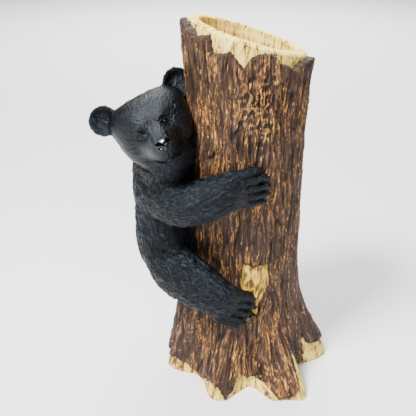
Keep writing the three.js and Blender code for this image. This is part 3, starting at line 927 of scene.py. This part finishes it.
def cutAcross(mesh, height, upper, name):  # a closed half, with sharp edges round the cut to hide the seam
    shape = bmesh.new()
    shape.from_mesh(mesh)
    everything = shape.verts[:] + shape.edges[:] + shape.faces[:]
    cut = bmesh.ops.bisect_plane(shape, geom=everything, dist=1e-4, plane_co=(0, 0, height),
                                 plane_no=(0, 0, 1), clear_inner=upper, clear_outer=not upper)
    rim = [item for item in cut["geom_cut"] if isinstance(item, bmesh.types.BMEdge)]
    bmesh.ops.holes_fill(shape, edges=rim, sides=0)
    for edge in rim:
        edge.smooth = False
    return meshFrom(shape, name)


cheekFur = ((50, 14, -26), (24, 26, 24))  # thick fur between the head and the trunk: centre and size


def turnFromBack(points):  # degrees round the trunk from the bear's back, which grow towards its paws
    return np.abs(turnBetween(np.degrees(np.arctan2(points[:, 1], points[:, 0])), 180))


def bearShape():
    shape = bmesh.new()
    addSwept(shape, torsoStations, 64, 48)
    addSwept(shape, neckStations, 48, 24)
    for side in (1, -1):
        addSwept(shape, mirrored(armStations, side), 48, 40)
        addSwept(shape, mirrored(legStations, side), 48, 40)
        for paw in (frontPaw, hindPaw):
            for index in range(5):
                addSwept(shape, toeStations(paw, index, side), 24, 20)
        addEar(shape, side)
    addSkull(shape)
    addLump(shape, onFace(face["nose"], face["sink"]), face["noseSize"])
    addLump(shape, *cheekFur)
    mesh = remeshed(shape, bear["voxel"], "bear")
    points = readPoints(mesh)
    joint = np.zeros(len(points))
    for side in (1, -1):
        for station in mirrored(jointStations, side):
            apart = np.linalg.norm(points - onBark(*station), axis=1)
            joint = np.maximum(joint, bell(apart, bear["jointReach"], 4))
    relaxed(mesh, 0.5 * joint, bear["jointPasses"])
    onPaw = turnFromBack(points) > bear["pawFrom"]
    relaxed(mesh, np.where(onPaw, 0.3, 0.5), bear["passes"])
    return mesh


def onFacePatch(local, margin):
    right, up, forward = bear["facePatch"]
    beside = (np.abs(local[:, 0]) < right + margin) & (np.abs(local[:, 1]) < up + margin)
    return beside & (local[:, 2] > forward - margin)


def refineFace(mesh):  # the face gets points twice as close, for its eyes, nose and mouth
    shape = bmesh.new()
    shape.from_mesh(mesh)
    inside = onFacePatch(toHead(np.array([vert.co[:] for vert in shape.verts])), 0)
    edges = [edge for edge in shape.edges if inside[edge.verts[0].index] and inside[edge.verts[1].index]]
    bmesh.ops.subdivide_edges(shape, edges=edges, cuts=1, use_grid_fill=True)
    shape.to_mesh(mesh)
    shape.free()
    relaxed(mesh, 0.5 * onFacePatch(toHead(readPoints(mesh)), 2), 3)


def makeBear(material):
    mesh = bearShape()
    refineFace(mesh)
    hollows = hollowDepth(mesh, bear["hollowPasses"])
    points, normals = readPoints(mesh), readNormals(mesh)
    local = toHead(points)
    onHead = smoothStep(*bear["headEdge"], np.linalg.norm(local, axis=1))
    onHead = onHead * smoothStep(*bear["headFoot"], points[:, 2])
    relief, smooth, gloss = faceRelief(local)
    relief, smooth, gloss = relief * onHead, smooth * onHead, gloss * onHead
    toes = smoothStep(*bear["toesFrom"], turnFromBack(points))
    direction = furDirection(points, normals, local, onHead)
    strokes = furStrokes(points, direction, bear["strokeLength"], bear["strokeWidth"], 71)
    tufts = furStrokes(points, direction, bear["tuftLength"], bear["tuftWidth"], 72)
    lumps = gradientNoise(points / bear["lumpWidth"], 74)
    headCalm = 1 - bear["faceCalm"] * onHead * smoothStep(-20, 30, local[:, 2])
    earBase = np.zeros(len(points))
    earInside = np.zeros(len(points))
    for side in (-1, 1):
        apart = np.linalg.norm(local - (side * ear["side"], ear["up"], -ear["back"]), axis=1)
        inner = np.linalg.norm(local - (side * (ear["side"] - 22), ear["up"] - 16, -ear["back"]), axis=1)
        earBase = np.maximum(earBase, bell(inner, 15))
        earInside = np.maximum(earInside, bell(apart, 17, 4) * smoothStep(-6, -2, local[:, 2]))
    calm = headCalm * (1 - smooth) * (1 - bear["earCalm"] * earInside) * (1 + bear["earBaseFur"] * earBase)
    folds = foldDepth(points)
    lift = relief - folds - bear["toeGroove"] * hollows * toes
    lift += bear["strokeDepth"] * strokes * calm * (1 - bear["toeCalm"] * toes)
    lift += (bear["tuftDepth"] * tufts + bear["lumpDepth"] * lumps * (1 - 0.7 * onHead)) * calm * (1 - toes)
    points = points + normals * lift[:, None]
    radius = np.hypot(points[:, 0], points[:, 1])
    inside = stump["trunkRadius"] - bear["wallMargin"]  # what would reach the well stays in its wall
    grow = np.where(radius < inside, inside / np.maximum(radius, 1), 1)
    writePoints(mesh, points * np.column_stack((grow, grow, np.ones(len(grow)))) * mm)
    # painted sheen: the raised fur strokes are painted lighter, towards the sheen colour, and the whole head
    # a little lighter
    storeNumbers(mesh, "fur", (strokes + 0.5 * tufts) * calm * (1 - 0.6 * toes) + 0.25 * onHead)
    # painted shade: the folds of the pelt, the hollows, the sunken marks of the face and the insides of the
    # ears are painted darker
    hollowShade = (1.6 * hollows + 0.7 * np.maximum(-relief, 0)) * (1 - 0.45 * onHead)
    storeNumbers(mesh, "creaseShade", folds + hollowShade + 6 * earInside)
    sheen = bear["headGloss"] * onHead * (1 - earInside) * smoothStep(-20, 30, local[:, 2])
    storeNumbers(mesh, "gloss", np.maximum(gloss, sheen * smoothStep(395, 440, points[:, 2])))
    for name, upper in (("bear_head", True), ("bear_body", False)):
        makePiece(name, cutAcross(mesh, bear["neckCut"] * mm, upper, name), material)
    bpy.data.meshes.remove(mesh)


def makeEyes(material):
    shape = bmesh.new()
    for side in (-1, 1):
        aim = (side * face["eye"][0], *face["eye"][1:])
        addLump(shape, onFace(aim, face["sink"] + face["eyeballSink"]), face["eyeball"])
    mesh = meshFrom(shape, "eyes")
    writePoints(mesh, readPoints(mesh) * mm)
    makePiece("eyes", mesh, material)


claw = {"rise": 0.6, "reach": 0.75, "dip": 0.2, "hook": 3.0, "point": 0.7, "rounding": 0.45, "sides": 14}


def makeClaws(material):  # rise, reach and dip are shares of the toe's end
    shape = bmesh.new()
    for side in (1, -1):
        for paw in (frontPaw, hindPaw):
            for index in range(5):
                centre, _, along, outwards = curveFrame(toeStations(paw, index, side), np.array([1.0]))
                reach = paw["toeRadius"] * toeTaper
                start = centre[0] + outwards[0] * reach * claw["rise"] + along[0] * reach * claw["reach"]
                length = paw["clawLength"]
                cone = bmesh.ops.create_cone(shape, cap_ends=True, segments=claw["sides"], depth=length,
                                             radius1=paw["clawBase"], radius2=claw["point"])
                made = cone["verts"]
                for vert in made:
                    share = (vert.co.z + length / 2) / length
                    vert.co.z = length * share
                    vert.co.y -= claw["hook"] * share ** 2
                ahead = unitRows(along[0] - claw["dip"] * outwards[0])[0]
                across = unitRows(np.cross(outwards[0], ahead))[0]
                turn = Matrix((across, np.cross(ahead, across), ahead)).transposed().to_4x4()
                bmesh.ops.transform(shape, matrix=Matrix.Translation(start) @ turn, verts=made)
    bmesh.ops.bevel(shape, geom=shape.edges[:], offset=claw["rounding"], affect="EDGES", segments=2,
                    profile=0.5, material=-1)
    bmesh.ops.recalc_face_normals(shape, faces=shape.faces)
    mesh = meshFrom(shape, "claws")
    writePoints(mesh, readPoints(mesh) * mm)
    makePiece("claws", mesh, material)


furPaint = {
    "deep": (0.0003, 0.0003, 0.0004), "black": (0.0014, 0.0016, 0.0020), "sheen": (0.022, 0.028, 0.038),
    "tint": (0.78, 0.88, 1.0), "stops": {"deep": 0.1, "black": 0.45, "sheen": 0.9},
    "stipple": (340, 3, 0.65), "smudge": (30, 3, 0.5), "strokeSheenWeight": 0.5, "furLevel": 0.42,
    "stippleWeight": 1.8, "smudgeWeight": 0.5, "foldShade": 0.14, "glossShade": 0.5,
    "roughness": 0.36, "glossSmoothing": 0.22, "specular": 0.18, "glossSpecular": 0.28,
    "bumpStrength": 1.0, "bumpDepth": 0.0026,
}
glossPaint = {
    "black": (0.004, 0.004, 0.005), "worn": (0.015, 0.015, 0.018), "stops": {"black": 0.35, "worn": 0.7},
    "smudge": (240, 3, 0.5), "roughness": 0.14, "coat": 0.5,
}


def furMaterial():
    paint = furPaint
    material, tree, shader = newMaterial("black painted fur")
    place = tree.nodes.new("ShaderNodeTexCoord").outputs["Object"]
    gloss = attributeNode(tree, "gloss")
    stipple = noiseNode(tree, place, *paint["stipple"])
    # painted sheen on the raised fur strokes and on the head
    level = mathNode(tree, "MULTIPLY_ADD", attributeNode(tree, "fur"), paint["strokeSheenWeight"], paint["furLevel"])
    level = addShare(tree, level, stipple, paint["stippleWeight"], 0.5)
    level = addShare(tree, level, noiseNode(tree, place, *paint["smudge"]), paint["smudgeWeight"], 0.5)
    # painted shade in the folds, hollows and ear insides
    level = addShare(tree, level, attributeNode(tree, "creaseShade"), -paint["foldShade"])
    level = addShare(tree, level, gloss, -paint["glossShade"])
    height = mathNode(tree, "MULTIPLY", stipple, mathNode(tree, "SUBTRACT", 1.0, gloss))
    specular = mathNode(tree, "MULTIPLY_ADD", gloss, paint["glossSpecular"], paint["specular"])
    setInputs(tree, shader, {
        "Base Color": paintRamp(tree, level, paint, "stops"), "Specular IOR Level": specular,
        "Roughness": mathNode(tree, "MULTIPLY_ADD", gloss, -paint["glossSmoothing"], paint["roughness"]),
        "Specular Tint": paint["tint"],
        "Normal": bumpNode(tree, height, paint["bumpStrength"], paint["bumpDepth"]),
    })
    return material


def glossMaterial():
    paint = glossPaint
    material, tree, shader = newMaterial("glossy black eyes and claws")
    place = tree.nodes.new("ShaderNodeTexCoord").outputs["Object"]
    colour = paintRamp(tree, noiseNode(tree, place, *paint["smudge"]), paint, "stops")
    setInputs(tree, shader, {
        "Base Color": colour, "Roughness": paint["roughness"], "Coat Weight": paint["coat"],
    })
    return material


# Camera, floor and lights

studio = {
    "cameraPlace": (-0.060, -1.0, 0.75), "cameraPitch": 24.5, "focalPixels": 650, "framePixels": 416,
    "floorSize": 16.0, "floorColour": (0.95, 0.95, 0.95), "floorRoughness": 0.9,
    "worldStrength": 0.08,
    "lights": [  # name, place, aim, size, power
        ("key light", (-0.8, -0.8, 1.95), (-0.03, 0, 0.45), 0.5, 135),
        ("front light", (0.5, -1.9, 1.3), (0, 0, 0.35), 0.9, 20),
        ("top light", (0.2, 0.7, 2.2), (0, 0.3, 0), 1.4, 36),
        ("backdrop light", (0, 3.6, 2.6), (0, 3.6, 0), 3.0, 320),
    ],
}


def makeCamera():
    data = bpy.data.cameras.new("camera")
    data.sensor_width = 36
    data.lens = studio["focalPixels"] / studio["framePixels"] * data.sensor_width
    camera = bpy.data.objects.new("camera", data)
    camera.location = studio["cameraPlace"]
    camera.rotation_euler = (math.radians(90 - studio["cameraPitch"]), 0, 0)
    bpy.context.scene.collection.objects.link(camera)
    bpy.context.scene.camera = camera


def makeFloor():
    shape = bmesh.new()
    bmesh.ops.create_grid(shape, x_segments=8, y_segments=8, size=studio["floorSize"] / 2)
    mesh = meshFrom(shape, "floor")
    floor = bpy.data.objects.new("floor", mesh)
    bpy.context.scene.collection.objects.link(floor)
    material, tree, shader = newMaterial("pale floor")
    setInputs(tree, shader, {"Base Color": studio["floorColour"], "Roughness": studio["floorRoughness"]})
    mesh.materials.append(material)


def makeLights():
    for name, place, aim, size, power in studio["lights"]:
        data = bpy.data.lights.new(name, "AREA")
        data.size = size
        data.energy = power
        light = bpy.data.objects.new(name, data)
        light.location = place
        light.rotation_euler = (Vector(aim) - Vector(place)).to_track_quat("-Z", "Y").to_euler()
        bpy.context.scene.collection.objects.link(light)
    world = bpy.data.worlds.new("studio")
    world.use_nodes = True
    background = world.node_tree.nodes["Background"]
    background.inputs["Color"].default_value = (1, 1, 1, 1)
    background.inputs["Strength"].default_value = studio["worldStrength"]
    bpy.context.scene.world = world


makeCamera()
makeFloor()
makeLights()
print("studio is set")
bark = barkMaterial()
makeBark(bark, "bark_lower", 0, 0.5)
makeBark(bark, "bark_upper", 0.49, 1)
makeWood(woodMaterial())
gloss = glossMaterial()
makeBear(furMaterial())
makeEyes(gloss)
makeClaws(gloss)
